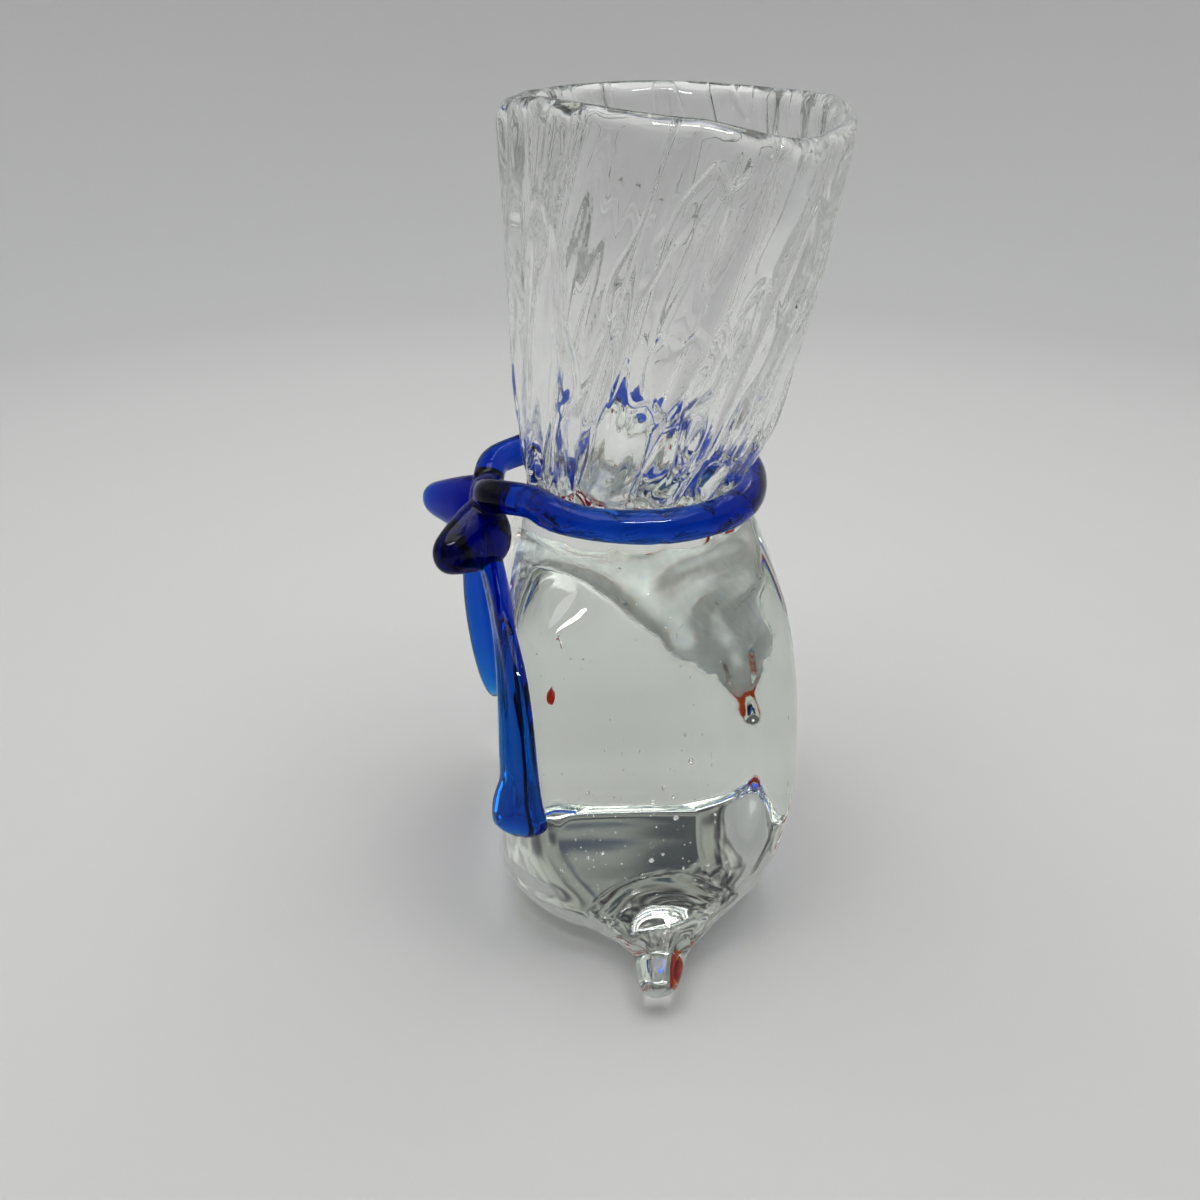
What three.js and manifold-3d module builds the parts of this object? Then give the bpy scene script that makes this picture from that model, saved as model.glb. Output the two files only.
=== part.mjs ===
// Goldfish-in-a-bag paperweight in hot-worked glass.
//
// Millimetres, +Z up. The origin lies on the ground flat of the base. -Y is the
// front (the bow and the fish), +X the right-hand bag corner seen from the front.
//
// The pieces follow the bits of glass that the object is put together from:
//   bag_core      first clear gather, marvered flat in front
//   fish_*        the goldfish, built from coloured bits and laid on that flat
//   bag_casing    second clear gather over the core and the fish: the bag's outside
//   bag_neck      ribbed, flared and open: the gathered top of the bag
//   bag_corner_right   pulled tip of the bag's lower corner
//   neck_cord, bow_*   the blue cord trailed round the neck and its bow
// Neighbours are fused in the real glass. Here each keeps a film of GAP to the next.

import * as THREE from "three";
import { mergeVertices } from "three/addons/utils/BufferGeometryUtils.js";
import Module from "manifold-3d";

const wasm = await Module();
wasm.setup();

// ---------------------------------------------------------------- dimensions
const GAP = 0.3; // film between fused neighbours

// Outside of bag and neck: height, half width towards +X and -X, front y, back y
const OUTSIDE = [
  [0.0, 38.8, 38.2, -20.0, 13.5],
  [1.2, 43.1, 39.2, -25.5, 18.8],
  [3.2, 46.3, 39.8, -29.3, 22.9],
  [6.5, 47.7, 40.0, -31.8, 26.3],
  [11.0, 48.4, 40.2, -33.0, 28.2],
  [18.0, 48.3, 40.3, -32.9, 29.2],
  [27.0, 48.0, 40.2, -32.7, 30.0],
  [37.0, 47.9, 39.8, -32.6, 30.4],
  [47.0, 47.5, 39.4, -31.9, 30.3],
  [57.0, 45.2, 39.0, -31.0, 30.1],
  [64.0, 42.1, 38.4, -30.1, 29.8],
  [70.0, 39.1, 37.4, -29.1, 28.9],
  [75.0, 36.5, 36.0, -28.0, 28.0],
  [79.0, 34.4, 34.4, -27.0, 26.6],
  [83.0, 32.4, 32.6, -26.0, 24.8],
  [87.0, 30.4, 30.3, -25.0, 22.6],
  [92.0, 28.8, 28.8, -24.2, 20.8],
  [97.0, 29.9, 29.9, -24.9, 22.8],
  [105.0, 32.3, 32.3, -25.6, 26.8],
  [118.0, 35.0, 35.0, -26.1, 30.2],
  [133.0, 38.0, 38.0, -26.6, 33.4],
  [148.0, 40.5, 40.5, -27.2, 36.2],
  [159.0, 42.0, 42.0, -27.8, 38.2],
  [166.0, 42.7, 42.7, -28.2, 39.2],
];
// Radii of the bag's upright edges: height, right front, right back, left front, left back
const EDGES = [
  [0.0, 22.0, 20.0, 13.0, 4.5],
  [1.2, 23.0, 21.0, 13.3, 4.5],
  [3.2, 24.0, 22.0, 13.7, 4.0],
  [6.5, 24.0, 21.5, 14.0, 3.5],
  [11.0, 23.0, 20.0, 14.0, 3.0],
  [18.0, 18.0, 16.0, 13.3, 3.0],
  [27.0, 13.0, 12.0, 12.7, 3.2],
  [37.0, 11.0, 10.5, 12.3, 4.5],
  [47.0, 9.5, 10.0, 12.0, 6.0],
  [57.0, 9.0, 11.0, 13.0, 8.0],
  [64.0, 8.5, 13.0, 14.0, 10.0],
  [70.0, 8.5, 14.0, 15.0, 13.0],
  [75.0, 9.0, 16.0, 16.5, 16.0],
  [83.0, 14.0, 20.0, 20.0, 20.0],
];
const CROWN = [0.5, 0.8]; // bulge of the end and face flats
const FLARE = 0.2; // spread of the back face towards the left end
const ROUND_Z = [70.0, 86.0]; // from slab section below to oval neck above
const OVAL = 2.2; // squareness of the oval section
// Slumped shoulder at the back of the left end: a point on its plane, the way that
// faces, its softness, and the heights between which it runs out
const SLUMP = { at: [-40.0, 1.0, 34.1], facing: [-0.85, 0.35, 0.405], soft: 0.8, fade: [58.0, 76.0] };
const BAG_Z = [0.0, 1.2, 3.2, 6.5, 11.0, 18.0, 27.0, 37.0, 47.0, 57.0, 64.0, 70.0, 75.0, 79.0, 82.0];
const BAG_SIDES = 56;

const CORE_INSET = 7.0; // casing thickness over the core at the sides and back
const CORE_FRONT_Y = -24.5; // the flat that the fish is laid on
const CORE_Z = [7.0, 9.5, 16.0, 26.0, 38.0, 50.0, 61.0, 70.0, 77.0, 82.0];
const CORE_ROUND = [4.5, 1.2]; // rounding of the core's foot at its two lowest rings

// Neck
const NECK_OUT_Z = [82.3, 87.0, 92.0, 98.0, 106.0, 118.0, 132.0, 147.0, 161.5];
const NECK_IN_Z = [161.5, 147.0, 131.0, 116.0, 106.0, 99.0, 94.0, 90.0];
const NECK_FLOOR_Z = 87.5; // bottom of the hollow
const LIP_TOP_Z = 166.0; // mean height of the rim
// wall thickness of the neck against height
const NECK_WALL = [
  [87.0, 7.0], [91.0, 6.4], [97.0, 5.8], [104.0, 5.0], [115.0, 4.4], [132.0, 3.9], [150.0, 3.8], [166.0, 4.4],
];
const RIB_COUNT = 16;
const RIB_SIDES = 3; // facets per rib
const RIB_HEIGHT = 1.1;
const RIB_TWIST = 0.0072; // radians of lean per mm of height
// rim height against angle (degrees from +X towards +Y), added to LIP_TOP_Z
const RIM_WAVE = [
  [0, 0.5], [28, -3.0], [60, -0.8], [90, 1.2], [135, 1.2], [180, 2.0], [225, 1.2], [270, 0.6], [315, 3.0], [360, 0.5],
];

// Blue cord
const CORD_R = 3.5;
const CORD_Z = 92.0;
const CORD_OUT = 2.9; // centreline outside the neck's face, so the cord bites into it
const CORD_LEAD = [[3.0, -33.4, 88.6], [10.5, -31.6, 91.0]]; // from the knot to the neck, right side
const KNOT_C = [0, -33.2, 86.2];
const KNOT_R = [5.6, 4.4, 5.6];
const LOOP_R = [[7.5, -34.2, 81.4], [19.2, -43.4, 80.4], 1.0]; // root and tip of each loop, stoutness
const LOOP_L = [[-7.5, -35.4, 81.5], [-19.6, -48.2, 79.3], 0.9];
// radius of a loop against the share of its length
const LOOP_PROFILE = [
  [0.0, -0.3], [5.0, -0.27], [7.4, -0.12], [8.0, 0.05], [7.4, 0.25], [6.5, 0.45], [5.5, 0.65], [4.5, 0.82], [3.0, 0.95], [0.0, 1.0],
];
const LOOP_FLAT = 0.8; // width of a loop against its height
// Tails as x, y, z, half width, half thickness, and the way the face looks (degrees
// from the front towards +X). The right tail lies on the bag and ends in a pressed
// foot, the left one is shorter, hangs clear and ends in a point.
const TAIL_R = [
  [5.0, -34.4, 81.0, 3.4, 2.8, 8],
  [11.0, -32.8, 75.4, 3.7, 2.6, 14],
  [20.0, -31.2, 71.0, 3.9, 2.5, 22],
  [30.4, -30.0, 68.0, 4.0, 2.5, 32],
  [37.9, -29.1, 63.2, 4.1, 2.5, 42],
  [43.0, -28.5, 56.3, 4.1, 2.5, 52],
  [45.4, -28.3, 50.4, 4.2, 2.5, 56],
  [46.9, -28.1, 44.5, 4.4, 2.6, 58],
  [47.3, -28.5, 38.2, 5.8, 2.9, 60],
  [47.5, -28.3, 34.6, 6.2, 2.9, 60],
  [47.7, -28.1, 31.8, 4.8, 2.1, 60],
];
const TAIL_L = [
  [-6.4, -34.6, 81.2, 2.8, 2.8, 20],
  [-9.8, -36.0, 74.0, 3.1, 2.8, 45],
  [-12.8, -36.9, 65.0, 3.4, 2.8, 65],
  [-15.2, -37.1, 55.0, 3.5, 2.8, 72],
  [-17.0, -36.7, 45.0, 3.3, 2.6, 75],
  [-18.0, -35.9, 36.0, 2.9, 2.3, 75],
  [-18.4, -35.0, 30.0, 2.4, 1.9, 75],
  [-18.5, -34.2, 25.4, 1.4, 1.2, 75],
];
const TAIL_SIDES = 12;

// Pulled corner: stations along the tip as x, y, z, half width in Y, half height in Z
const CORNER = [
  [40.0, 1.6, 9.0, 13.0, 9.0],
  [46.0, 1.4, 8.0, 12.6, 9.0],
  [50.0, 1.1, 6.9, 11.0, 8.4],
  [52.6, 0.7, 6.7, 8.8, 6.9],
  [55.2, 0.3, 6.5, 6.7, 5.2],
  [59.5, -0.4, 6.2, 5.0, 3.9],
  [63.6, -1.1, 5.9, 4.3, 3.3],
  [66.0, -1.5, 5.7, 3.1, 2.4],
  [67.3, -1.6, 5.6, 1.4, 1.1],
];
const CORNER_SIDES = 14;

// Fish: middle plane, and the stations of its body along X as
// x, height of the middle, half height, half thickness
const FISH_Y = -24.5;
const FISH = [
  [-27.6, 38.6, 1.3, 0.8],
  [-26.4, 38.7, 3.2, 1.4],
  [-23.6, 39.0, 5.9, 2.3],
  [-19.5, 39.4, 8.9, 3.05],
  [-14.0, 39.6, 11.4, 3.5],
  [-8.0, 39.6, 12.2, 3.6],
  [-2.0, 39.5, 11.0, 3.3],
  [4.0, 39.7, 8.4, 2.6],
  [9.0, 39.9, 5.6, 2.0],
  [13.2, 40.2, 3.6, 1.4],
];
const FISH_SIDES = 14;
const EYE_X = -20.2, EYE_OUT = 2.6, EYE_Z = 41.6, EYE_R = 1.9, PUPIL_OUT = 4.0, PUPIL_R = 1.05;
const FIN_THICK = 2.2;
// outlines of the fins in the middle plane, as x, z
const FINS = {
  fish_tail_fin: [[10.6, 41.8], [16.0, 45.6], [22.0, 50.6], [29.0, 53.2], [28.6, 47.8], [25.0, 42.6], [23.6, 40.0], [25.6, 37.0], [29.6, 31.4], [29.4, 26.6], [22.4, 29.8], [16.0, 34.8], [10.6, 38.4]],
  fish_dorsal_fin: [[-15.0, 49.0], [-13.0, 55.4], [-9.4, 58.4], [-4.0, 56.4], [1.6, 52.8], [6.0, 48.4], [4.0, 46.0], [-4.0, 48.6]],
  fish_pelvic_fin: [[-12.6, 29.6], [-12.4, 24.6], [-10.4, 20.6], [-6.8, 21.6], [-5.0, 26.0], [-5.4, 30.0]],
  fish_anal_fin: [[1.4, 32.4], [3.2, 28.0], [6.8, 24.6], [9.2, 27.0], [9.0, 31.4], [6.6, 34.8]],
};
const SIDE_FIN = { at: [-8.2, 3.7, 35.4], half: [4.6, 1.05, 3.0], swing: 14, drop: 18 };

// ---------------------------------------------------------------- helpers
// Smooth monotone curve through a table's rows, column by column.
function table(rows) {
  const n = rows.length, cols = rows[0].length;
  const m = [];
  for (let c = 1; c < cols; c++) {
    const d = [], t = new Array(n);
    for (let i = 0; i < n - 1; i++) d.push((rows[i + 1][c] - rows[i][c]) / (rows[i + 1][0] - rows[i][0]));
    t[0] = d[0];
    t[n - 1] = d[n - 2];
    for (let i = 1; i < n - 1; i++) t[i] = d[i - 1] * d[i] <= 0 ? 0 : (2 * d[i - 1] * d[i]) / (d[i - 1] + d[i]);
    m[c] = t;
  }
  return (x) => {
    const v = Math.min(Math.max(x, rows[0][0]), rows[n - 1][0]);
    let i = 0;
    while (i < n - 2 && v > rows[i + 1][0]) i++;
    const h = rows[i + 1][0] - rows[i][0], s = (v - rows[i][0]) / h;
    const out = [];
    for (let c = 1; c < cols; c++) {
      const a = rows[i][c], b = rows[i + 1][c], p = m[c][i] * h, q = m[c][i + 1] * h;
      out.push((2 * s ** 3 - 3 * s * s + 1) * a + (s ** 3 - 2 * s * s + s) * p + (-2 * s ** 3 + 3 * s * s) * b + (s ** 3 - s * s) * q);
    }
    return out;
  };
}
const outsideAt = table(OUTSIDE), edgesAt = table(EDGES), rimWave = table(RIM_WAVE), wallAt = table(NECK_WALL);
const smooth = (x, a, b) => {
  const t = Math.min(Math.max((x - a) / (b - a), 0), 1);
  return t * t * (3 - 2 * t);
};
const rad = (deg) => (deg * Math.PI) / 180;

// Polar radius of a rounded square with half axes a and b and squareness n.
const polar = (a, b, n, t) =>
  1 / Math.pow(Math.pow(Math.abs(Math.cos(t)) / a, n) + Math.pow(Math.abs(Math.sin(t)) / b, n), 1 / n);

// Angles round the bag, closer together at its upright edges.
const BAG_TURN = (() => {
  const fine = 3600, sum = [0];
  for (let i = 0; i < fine; i++) {
    const deg = (360 * (i + 0.5)) / fine;
    let w = 1;
    for (const e of [31, 149, 211, 329]) w += 2.2 * Math.exp(-(((deg - e) / 11) ** 2));
    sum.push(sum[i] + w);
  }
  const out = [];
  for (let k = 0, i = 0; k < BAG_SIDES; k++) {
    while (sum[i + 1] < (sum[fine] * k) / BAG_SIDES) i++;
    out.push((2 * Math.PI * i) / fine);
  }
  return out;
})();

// A point of the bag's outside at height z and angle t, moved out by grow: flat ends
// and faces with rounded upright edges below, running into an oval at the neck.
function outsidePoint(z, t, grow) {
  const [an, af, f, k] = outsideAt(z), [nf, nb, ff, fb] = edgesAt(z), c = Math.cos(t), s = Math.sin(t);
  const a = (c > 0 ? an : af) + grow, b = (k - f) / 2 + grow, p = new THREE.Vector3(0, 0, z);
  const want = (c > 0 ? (s > 0 ? nb : nf) : s > 0 ? fb : ff) + grow;
  const r = Math.min(Math.max(want, 3), Math.min(a, b) * 0.995);
  const ac = Math.abs(c) + 1e-12, as = Math.abs(s) + 1e-12, cx = a - r, cy = b - r, d = cx * ac + cy * as;
  const far = (a / ac) * as <= cy ? a / ac
    : (b / as) * ac <= cx ? b / as
    : d + Math.sqrt(Math.max(d * d - cx * cx - cy * cy + r * r, 0));
  const x = far * c, y = far * s, o = polar(a, b, OVAL, t), w = smooth(z, ...ROUND_Z);
  const sx = x * (1 - (CROWN[0] / a) * (y / b) ** 2);
  const sy = y * (1 - (CROWN[1] / b) * (x / a) ** 2) * (x < 0 && y > 0 ? 1 + FLARE * (sx / a) ** 2 : 1);
  p.x = sx * (1 - w) + o * c * w;
  p.y = (f + k) / 2 + sy * (1 - w) + o * s * w;
  if (z > 2 && z < SLUMP.fade[1] && p.x < 0) {
    const n = new THREE.Vector3(...SLUMP.facing).normalize(), q = SLUMP.soft;
    const over = p.clone().sub(new THREE.Vector3(...SLUMP.at)).dot(n) - grow;
    const back = (over > q ? over : over > -q ? (over + q) ** 2 / (4 * q) : 0) * (1 - smooth(z, ...SLUMP.fade));
    p.x -= back * n.x;
    p.y -= back * n.y;
  }
  return p;
}

// A closed skin over rings of equal length, with fans on both ends.
function skin(rings) {
  const m = rings[0].length, pos = [], idx = [];
  for (const r of rings) for (const p of r) pos.push(p.x, p.y, p.z);
  const end = (r) => {
    const c = new THREE.Vector3();
    r.forEach((p) => c.add(p));
    c.divideScalar(m);
    pos.push(c.x, c.y, c.z);
    return pos.length / 3 - 1;
  };
  for (let k = 0; k < rings.length - 1; k++)
    for (let i = 0; i < m; i++) {
      const a = k * m + i, b = k * m + ((i + 1) % m), c = a + m, d = b + m;
      idx.push(a, b, d, a, d, c);
    }
  const c0 = end(rings[0]), c1 = end(rings[rings.length - 1]), last = (rings.length - 1) * m;
  for (let i = 0; i < m; i++) {
    idx.push(c0, (i + 1) % m, i);
    idx.push(c1, last + i, last + ((i + 1) % m));
  }
  const g = new THREE.BufferGeometry();
  g.setAttribute("position", new THREE.Float32BufferAttribute(pos, 3));
  g.setIndex(idx);
  return g;
}

function solid(geometry) {
  const g = geometry.clone();
  g.deleteAttribute("normal");
  g.deleteAttribute("uv");
  const w = mergeVertices(g, 1e-4);
  const tri = new Uint32Array(w.index.array);
  const make = () => new wasm.Manifold(new wasm.Mesh({ numProp: 3, vertProperties: w.attributes.position.array, triVerts: tri }));
  const first = make();
  if (first.volume() > 0) return first;
  for (let i = 0; i < tri.length; i += 3) [tri[i + 1], tri[i + 2]] = [tri[i + 2], tri[i + 1]];
  return make();
}

function geometryOf(made) {
  const m = made.getMesh(), v = new Float32Array(m.numVert * 3);
  for (let i = 0; i < m.numVert; i++) v.set(m.vertProperties.subarray(i * m.numProp, i * m.numProp + 3), i * 3);
  const g = new THREE.BufferGeometry();
  g.setAttribute("position", new THREE.BufferAttribute(v, 3));
  g.setIndex(new THREE.BufferAttribute(new Uint32Array(m.triVerts), 1));
  g.computeVertexNormals();
  return g;
}

// ---------------------------------------------------------------- bag
// grow moves the outside by that much, for cutting a neighbour to fit
function bagSolid(grow) {
  return solid(skin(BAG_Z.map((z) => BAG_TURN.map((t) => {
    const p = outsidePoint(z, t, grow);
    if (z === 0) p.z = -grow;
    return p;
  }))));
}

function coreSolid(grow) {
  return solid(skin(CORE_Z.map((z, i) => {
    const round = CORE_ROUND[i] ?? 0, top = i === CORE_Z.length - 1 && grow > 0 ? 2 : 0;
    return BAG_TURN.map((t) => {
      const p = outsidePoint(z, t, grow - CORE_INSET - round);
      p.y = Math.max(p.y, CORE_FRONT_Y + round - grow);
      p.z += top - (i === 0 ? grow : 0);
      return p;
    });
  })));
}

// The neck's outside is crossed by leaning ribs that fade towards the lip.
function neckPoint(z, t, inset, ribs) {
  const p = outsidePoint(z, t, -inset);
  const fade = smooth(z, 84, 97) * (1 - 0.75 * smooth(z, 130, 164));
  const out = ribs * fade * Math.cos(RIB_COUNT * (t - RIB_TWIST * (z - 92)));
  const lift = rimWave((((t * 180) / Math.PI) % 360 + 360) % 360)[0] * smooth(z, 118, 166);
  return new THREE.Vector3(p.x + out * Math.cos(t), p.y + out * Math.sin(t), z + lift);
}

function neckSolid() {
  const sides = RIB_COUNT * RIB_SIDES;
  const at = (z, inset, ribs) => Array.from({ length: sides }, (_, i) => neckPoint(z, (2 * Math.PI * i) / sides, inset, ribs));
  const rings = NECK_OUT_Z.map((z) => at(z, 0, RIB_HEIGHT));
  rings.push(at(164.6, 0.6, 0.2), at(LIP_TOP_Z, 2.2, 0.1), at(164.6, 3.8, 0));
  for (const z of NECK_IN_Z) rings.push(at(z, wallAt(z)[0] + Math.max(0, 95 - z) * 1.5, -0.3));
  rings.push(at(NECK_FLOOR_Z, 19.5, 0));
  return solid(skin(rings));
}

// The neck without its hollow, moved out by GAP, for cutting a neighbour to fit.
function neckGrown() {
  const sides = RIB_COUNT * RIB_SIDES;
  return solid(skin(NECK_OUT_Z.map((z) => Array.from({ length: sides }, (_, i) => neckPoint(z, (2 * Math.PI * i) / sides, -GAP, RIB_HEIGHT)))));
}

// ---------------------------------------------------------------- cord and bow
const cordPath = (() => {
  const [a, , f, k] = outsideAt(CORD_Z), cy = (f + k) / 2;
  const lead = CORD_LEAD.map((p) => new THREE.Vector3(...p));
  const round = [];
  for (let i = 0; i <= 18; i++) {
    const t = rad(-52 + (284 * i) / 18), r = polar(a + CORD_OUT, (k - f) / 2 + CORD_OUT, OVAL, t);
    round.push(new THREE.Vector3(r * Math.cos(t), cy + r * Math.sin(t), CORD_Z));
  }
  const back = lead.map((p) => new THREE.Vector3(-p.x, p.y, p.z)).reverse();
  return new THREE.CatmullRomCurve3([...lead, ...round, ...back], false, "centripetal");
})();

function cordSolid(grow) {
  const s = new THREE.Shape(), sides = 8;
  for (let i = 0; i <= sides; i++) {
    const t = (2 * Math.PI * i) / sides, x = (CORD_R + grow) * Math.cos(t), y = (CORD_R + grow) * Math.sin(t);
    if (i === 0) s.moveTo(x, y);
    else s.lineTo(x, y);
  }
  return solid(new THREE.ExtrudeGeometry(s, { steps: 44, extrudePath: cordPath, bevelEnabled: false }));
}

function knotSolid(grow) {
  const g = new THREE.SphereGeometry(1, 14, 9);
  g.rotateX(Math.PI / 2);
  g.scale(KNOT_R[0] + grow, KNOT_R[1] + grow, KNOT_R[2] + grow);
  g.translate(...KNOT_C);
  return solid(g);
}

// A drawn-out lobe of hot glass: fat at the root, blunt at the tip.
function loopSolid([root, tip, stout], grow) {
  const a = new THREE.Vector3(...root), b = new THREE.Vector3(...tip), L = a.distanceTo(b), last = LOOP_PROFILE.length - 1;
  const profile = LOOP_PROFILE.map(([r, u], i) =>
    new THREE.Vector2(r === 0 ? 0 : r * stout + grow, u * L + (i === 0 ? -grow : i === last ? grow : 0)));
  const g = new THREE.LatheGeometry(profile, 14);
  g.scale(LOOP_FLAT, 1, 1);
  const turn = new THREE.Quaternion().setFromUnitVectors(new THREE.Vector3(0, 1, 0), b.clone().sub(a).normalize());
  g.applyMatrix4(new THREE.Matrix4().makeRotationFromQuaternion(turn));
  g.translate(a.x, a.y, a.z);
  return solid(g);
}

// A flat strap of oval section along its stations.
function strapSolid(stations) {
  const rings = stations.map(([x, y, z, w, h, deg], i) => {
    const p = new THREE.Vector3(x, y, z);
    const q = stations[Math.min(i + 1, stations.length - 1)], o = stations[Math.max(i - 1, 0)];
    const along = new THREE.Vector3(q[0] - o[0], q[1] - o[1], q[2] - o[2]).normalize();
    const face = new THREE.Vector3(Math.sin(rad(deg)), -Math.cos(rad(deg)), 0);
    face.addScaledVector(along, -face.dot(along)).normalize();
    const side = new THREE.Vector3().crossVectors(along, face);
    return Array.from({ length: TAIL_SIDES }, (_, j) => {
      const t = (2 * Math.PI * j) / TAIL_SIDES;
      return p.clone().addScaledVector(side, w * Math.cos(t)).addScaledVector(face, h * Math.sin(t));
    });
  });
  return solid(skin(rings));
}

// ---------------------------------------------------------------- corner
function cornerSolid() {
  const rings = CORNER.map(([x, y, z, w, h]) => Array.from({ length: CORNER_SIDES }, (_, j) => {
    const t = (2 * Math.PI * j) / CORNER_SIDES;
    return new THREE.Vector3(x, y + w * Math.cos(t), Math.max(z + h * Math.sin(t), 1.2));
  }));
  return solid(skin(rings));
}

// ---------------------------------------------------------------- fish
function fishBodySolid(grow) {
  const last = FISH.length - 1;
  const rings = FISH.map(([x, z, h, w], i) => Array.from({ length: FISH_SIDES }, (_, j) => {
    const t = (2 * Math.PI * j) / FISH_SIDES, push = i === 0 ? -grow : i === last ? grow : 0;
    return new THREE.Vector3(x + push, FISH_Y + (w + grow) * Math.cos(t), z + (h + grow) * Math.sin(t));
  }));
  return solid(skin(rings));
}

// A fin is an outline in X and Z, given a thickness in Y about the middle plane.
function finSolid(outline, grow) {
  const mid = outline.reduce((s, p) => [s[0] + p[0] / outline.length, s[1] + p[1] / outline.length], [0, 0]);
  const curve = new THREE.CatmullRomCurve3(outline.map(([x, z]) => {
    const dx = x - mid[0], dz = z - mid[1], L = Math.hypot(dx, dz) || 1;
    return new THREE.Vector3(x + (dx / L) * grow, z + (dz / L) * grow, 0);
  }), true, "centripetal");
  const shape = new THREE.Shape(curve.getPoints(outline.length * 2).slice(0, -1).map((p) => new THREE.Vector2(p.x, p.y)));
  const g = new THREE.ExtrudeGeometry(shape, { depth: FIN_THICK + 2 * grow, bevelEnabled: false, steps: 1 });
  g.rotateX(Math.PI / 2); // the outline's second axis becomes +Z, and the depth runs along -Y
  g.translate(0, FISH_Y + FIN_THICK / 2 + grow, 0);
  return solid(g);
}

// Side fins stand out from the flanks like small petals.
function sideFinSolid(sign, grow) {
  const g = new THREE.SphereGeometry(1, 12, 8);
  g.scale(...SIDE_FIN.half.map((v) => v + grow));
  g.rotateZ(rad(sign * SIDE_FIN.swing));
  g.rotateY(rad(SIDE_FIN.drop));
  g.translate(SIDE_FIN.at[0], FISH_Y + sign * SIDE_FIN.at[1], SIDE_FIN.at[2]);
  return solid(g);
}
function eyeSolid(sign, r) {
  const g = new THREE.SphereGeometry(r, 12, 8);
  g.rotateX(Math.PI / 2);
  g.translate(EYE_X, FISH_Y + sign * EYE_OUT, EYE_Z);
  return solid(g);
}
function pupilSolid(sign, r) {
  const g = new THREE.SphereGeometry(r, 10, 6);
  g.rotateX(Math.PI / 2);
  g.translate(EYE_X - 0.2, FISH_Y + sign * PUPIL_OUT, EYE_Z + 0.1);
  return solid(g);
}

// ---------------------------------------------------------------- put together
const made = new Map();

// fish, cut to fit one another
const fishGrown = fishBodySolid(GAP);
let fishBody = fishBodySolid(0), fishRoom = fishBodySolid(GAP);
for (const [side, sign] of [["front", -1], ["back", 1]]) {
  fishBody = fishBody.subtract(eyeSolid(sign, EYE_R + GAP)).subtract(pupilSolid(sign, PUPIL_R + GAP));
  made.set("fish_eye_" + side, eyeSolid(sign, EYE_R).subtract(pupilSolid(sign, PUPIL_R + GAP)));
  made.set("fish_pupil_" + side, pupilSolid(sign, PUPIL_R));
  made.set("fish_side_fin_" + side, sideFinSolid(sign, 0).subtract(fishGrown));
  fishRoom = fishRoom.add(eyeSolid(sign, EYE_R + GAP)).add(pupilSolid(sign, PUPIL_R + GAP)).add(sideFinSolid(sign, GAP));
}
made.set("fish_body", fishBody);
for (const [name, outline] of Object.entries(FINS)) {
  made.set(name, finSolid(outline, 0).subtract(fishGrown));
  fishRoom = fishRoom.add(finSolid(outline, GAP));
}

// bag
made.set("bag_core", coreSolid(0).subtract(fishRoom));
made.set("bag_casing", bagSolid(0).subtract(coreSolid(GAP)).subtract(fishRoom));
made.set("bag_neck", neckSolid().subtract(cordSolid(GAP)));
const bagGrown = bagSolid(GAP);
made.set("bag_corner_right", cornerSolid().subtract(bagGrown));

// cord and bow
const knotGrown = knotSolid(GAP), cordGrown = cordSolid(GAP);
const loopRg = loopSolid(LOOP_R, GAP), loopLg = loopSolid(LOOP_L, GAP);
made.set("neck_cord", cordSolid(0).subtract(knotGrown).subtract(loopRg).subtract(loopLg));
made.set("bow_knot", knotSolid(0));
const topGrown = bagGrown.add(neckGrown());
made.set("bow_loop_right", loopSolid(LOOP_R, 0).subtract(knotGrown).subtract(topGrown));
made.set("bow_loop_left", loopSolid(LOOP_L, 0).subtract(knotGrown).subtract(topGrown));
made.set("bow_tail_right", strapSolid(TAIL_R).subtract(knotGrown).subtract(loopRg).subtract(cordGrown).subtract(bagGrown));
made.set("bow_tail_left", strapSolid(TAIL_L).subtract(knotGrown).subtract(loopLg).subtract(cordGrown).subtract(bagGrown));

// The largest body of a cut, without its slivers.
const main = (s) => s.decompose().sort((a, b) => b.volume() - a.volume())[0];

const clear = new THREE.MeshStandardMaterial({ color: 0xdfe6e1, roughness: 0.04, metalness: 0, transparent: true, opacity: 0.35 });
const cobalt = new THREE.MeshStandardMaterial({ color: 0x0d40b4, roughness: 0.05, metalness: 0, transparent: true, opacity: 0.85 });
const coral = new THREE.MeshStandardMaterial({ color: 0xc0241a, roughness: 0.25, metalness: 0 });
const flame = new THREE.MeshStandardMaterial({ color: 0xd9531e, roughness: 0.25, metalness: 0 });
const milk = new THREE.MeshStandardMaterial({ color: 0xf2efe6, roughness: 0.25, metalness: 0 });
const jet = new THREE.MeshStandardMaterial({ color: 0x0b0b0d, roughness: 0.2, metalness: 0 });
const materialOf = (name) =>
  name.startsWith("bag_") ? clear
  : name === "neck_cord" || name.startsWith("bow_") ? cobalt
  : name.startsWith("fish_eye") ? milk
  : name.startsWith("fish_pupil") ? jet
  : name === "fish_body" ? coral
  : flame;

const paperweight = new THREE.Group();
const groups = { bag: new THREE.Group(), bow: new THREE.Group(), fish: new THREE.Group() };
for (const g of Object.values(groups)) paperweight.add(g);
for (const [name, s] of made) {
  const mesh = new THREE.Mesh(geometryOf(main(s)), materialOf(name));
  mesh.name = name;
  groups[name.startsWith("bag_") ? "bag" : name.startsWith("fish_") ? "fish" : "bow"].add(mesh);
}

export default paperweight;
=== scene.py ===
import math
import random

import bmesh
import bpy
import numpy as np
from mathutils import Matrix, Vector, noise


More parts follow.
